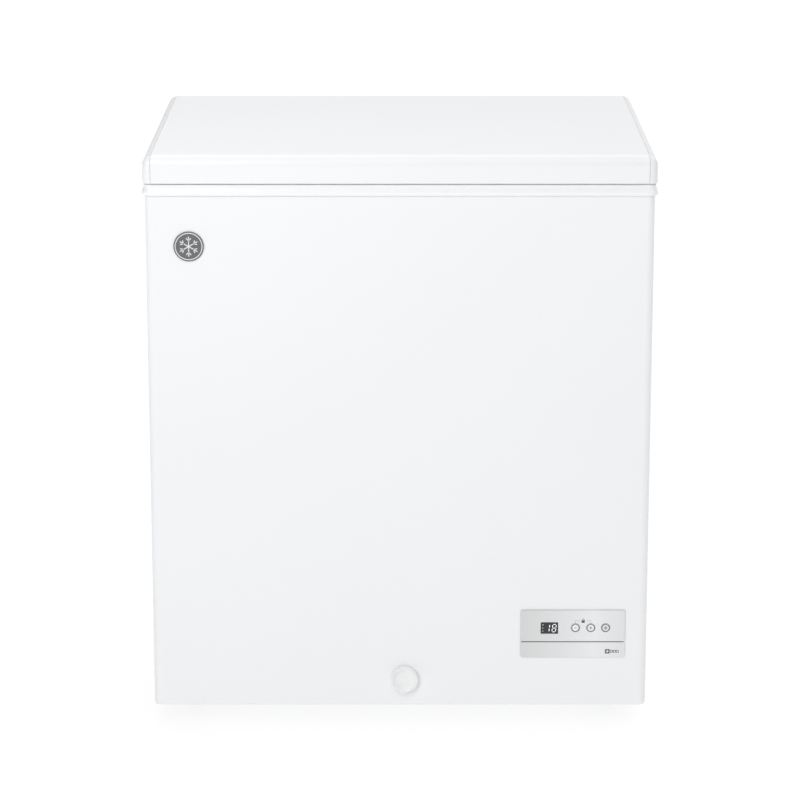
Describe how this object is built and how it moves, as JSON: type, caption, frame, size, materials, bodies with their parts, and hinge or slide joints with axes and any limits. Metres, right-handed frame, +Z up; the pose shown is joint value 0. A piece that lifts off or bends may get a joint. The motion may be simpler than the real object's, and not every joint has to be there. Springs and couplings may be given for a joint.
{
  "type": "chest freezer",
  "caption": "Free-standing chest freezer with a counterbalanced top lid, front controls, drain, hanging basket, feet and rollers.",
  "frame": {"origin": "on the floor at the centre of the outline, under the feet and rollers", "axes": "+Z up, -Y out of the front with the controls, +X to the right seen from the front"},
  "size_m": [0.73, 0.596, 0.845],
  "materials": {
    "white_steel": "white gloss powder coat on sheet steel",
    "white_plastic": "white moulded plastic, semi-gloss",
    "liner_metal": "stucco-embossed aluminium sheet",
    "zinc_steel": "zinc-plated sheet steel with a dull spangle",
    "black_steel": "black enamel",
    "copper": "copper pipe, slightly tarnished",
    "foam": "rigid polyurethane foam, pale yellow",
    "grey_rubber": "soft pale grey gasket extrusion",
    "black_rubber": "matt black rubber",
    "black_plastic": "fine-grained black moulding",
    "silver_plastic": "silver pearl lacquer",
    "badge_grey": "dark grey with a bright rim",
    "board_green": "green circuit board",
    "dark_lens": "smoked display window",
    "basket_wire": "white dip-coated wire"
  },
  "bodies": {
    "cabinet": {"outer_shell": "white_steel", "back_panel": "zinc_steel", "base_panel": "zinc_steel", "compressor_tray": "zinc_steel", "bay_liner": "zinc_steel", "rear_grille": "black_plastic", "side_grille": "white_plastic", "cord_gland": "black_rubber", "inner_liner": "liner_metal", "cabinet_foam": "foam", "collar": "white_plastic", "hinge_housing_left": "zinc_steel", "hinge_pin_left": "zinc_steel", "hinge_spring_left": "black_steel", "hinge_housing_right": "zinc_steel", "hinge_pin_right": "zinc_steel", "hinge_spring_right": "black_steel", "compressor_shell": "black_steel", "compressor_bracket": "black_steel", "compressor_grommet_1": "black_rubber", "compressor_grommet_2": "black_rubber", "compressor_grommet_3": "black_rubber", "compressor_grommet_4": "black_rubber", "relay_cover": "black_plastic", "filter_drier": "copper", "discharge_tube": "copper", "suction_tube": "copper", "capillary_tube": "copper", "condenser_coil": "zinc_steel", "evaporator_coil": "zinc_steel", "panel_bezel": "silver_plastic", "display_lens": "dark_lens", "display_module": "black_plastic", "control_board": "board_green", "control_box": "black_plastic", "badge": "badge_grey", "drain_elbow": "white_plastic", "roller_bracket_left": "zinc_steel", "roller_bracket_right": "zinc_steel"},
    "lid": {"lid_top_panel": "white_steel", "lid_side_trim_left": "white_plastic", "lid_side_trim_right": "white_plastic", "lid_inner_panel": "white_plastic", "lid_foam": "foam", "lid_gasket": "grey_rubber", "hinge_arm_left": "zinc_steel", "hinge_arm_right": "zinc_steel"},
    "plunger_left": {"hinge_plunger_left": "zinc_steel"},
    "plunger_right": {"hinge_plunger_right": "zinc_steel"},
    "minus_key": {"key_minus": "silver_plastic"},
    "plus_key": {"key_plus": "silver_plastic"},
    "fast_freeze_key": {"key_fast_freeze": "silver_plastic"},
    "spout": {"drain_spout": "white_plastic"},
    "cap": {"drain_cap": "white_plastic"},
    "well_plug": {"drain_plug": "white_plastic"},
    "hanging_basket": {"basket": "basket_wire"},
    "left_foot": {"foot_left": "black_plastic"},
    "right_foot": {"foot_right": "black_plastic"},
    "left_roller": {"roller_left": "black_plastic"},
    "right_roller": {"roller_right": "black_plastic"}
  },
  "joints": [
    {"name": "lid_hinge", "type": "hinge", "parent": "cabinet", "child": "lid", "pos_m": [0, 0.287, 0.806], "axis": [-1, 0, 0], "range_deg": [0, 80], "stiffness_Nm_per_rad": 9.5, "springref_deg": 89.95},
    {"name": "plunger_left_slide", "type": "slide", "parent": "cabinet", "child": "plunger_left", "axis": [0, 0, 1], "range_m": [0, 0.007], "deforming": ["hinge_spring_left"]},
    {"name": "plunger_right_slide", "type": "slide", "parent": "cabinet", "child": "plunger_right", "axis": [0, 0, 1], "range_m": [0, 0.007], "deforming": ["hinge_spring_right"]},
    {"name": "minus_key_press", "type": "slide", "parent": "cabinet", "child": "minus_key", "axis": [0, 1, 0], "range_m": [0, 0.001], "stiffness_N_per_m": 800},
    {"name": "plus_key_press", "type": "slide", "parent": "cabinet", "child": "plus_key", "axis": [0, 1, 0], "range_m": [0, 0.001], "stiffness_N_per_m": 800},
    {"name": "fast_freeze_key_press", "type": "slide", "parent": "cabinet", "child": "fast_freeze_key", "axis": [0, 1, 0], "range_m": [0, 0.001], "stiffness_N_per_m": 800},
    {"name": "spout_slide", "type": "slide", "parent": "cabinet", "child": "spout", "axis": [0, -1, 0], "range_m": [0, 0.03]},
    {"name": "cap_turn", "type": "hinge", "parent": "spout", "child": "cap", "pos_m": [0.007, -0.294, 0.068], "axis": [0, -1, 0], "range_deg": [0, 180]},
    {"name": "well_plug_lift", "type": "slide", "parent": "cabinet", "child": "well_plug", "axis": [0, 0, 1], "range_m": [0, 0.025]},
    {"name": "basket_slide", "type": "slide", "parent": "cabinet", "child": "hanging_basket", "axis": [1, 0, 0], "range_m": [-0.35, 0]},
    {"name": "left_foot_turn", "type": "hinge", "parent": "cabinet", "child": "left_foot", "pos_m": [-0.305, -0.195, 0.006], "axis": [0, 0, 1], "continuous": true},
    {"name": "right_foot_turn", "type": "hinge", "parent": "cabinet", "child": "right_foot", "pos_m": [0.305, -0.195, 0.006], "axis": [0, 0, 1], "continuous": true},
    {"name": "left_roller_turn", "type": "hinge", "parent": "cabinet", "child": "left_roller", "pos_m": [-0.3, 0.225, 0.012], "axis": [1, 0, 0], "continuous": true},
    {"name": "right_roller_turn", "type": "hinge", "parent": "cabinet", "child": "right_roller", "pos_m": [0.3, 0.225, 0.012], "axis": [1, 0, 0], "continuous": true}
  ],
  "couplings": [
    {"joint": "plunger_left_slide", "follows": "lid_hinge", "m_per_rad": 0.005},
    {"joint": "plunger_right_slide", "follows": "lid_hinge", "m_per_rad": 0.005}
  ]
}
